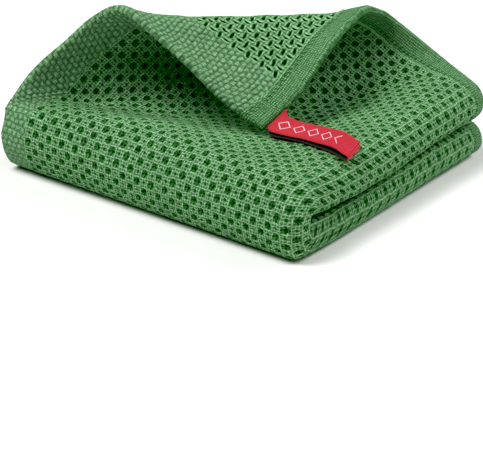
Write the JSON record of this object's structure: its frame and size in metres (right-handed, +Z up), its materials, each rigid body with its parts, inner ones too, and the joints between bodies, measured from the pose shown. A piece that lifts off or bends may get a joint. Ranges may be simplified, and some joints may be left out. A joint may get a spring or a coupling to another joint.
{
  "type": "dishcloth",
  "caption": "Waffle weave cotton dishcloth folded in quarters, the top corner curled over, with a folded ribbon label sewn into its hem.",
  "frame": {"origin": "middle of the folded cloth's footprint, on the surface it lies on", "axes": "+Z up; the first fold, with its two rolls, is on the +X side and the second fold, with its single roll, on the -Y side, so the front corner points to +X -Y; the open edges are on the -X and +Y sides"},
  "size_m": [0.15, 0.144, 0.0709],
  "materials": {
    "cotton": "matte waffle weave, woven from green and darker green cotton",
    "ribbon": "ribbed woven ribbon with a soft sheen"
  },
  "bodies": {
    "root": {"dishcloth": "cotton", "label": "ribbon"}
  },
  "joints": []
}
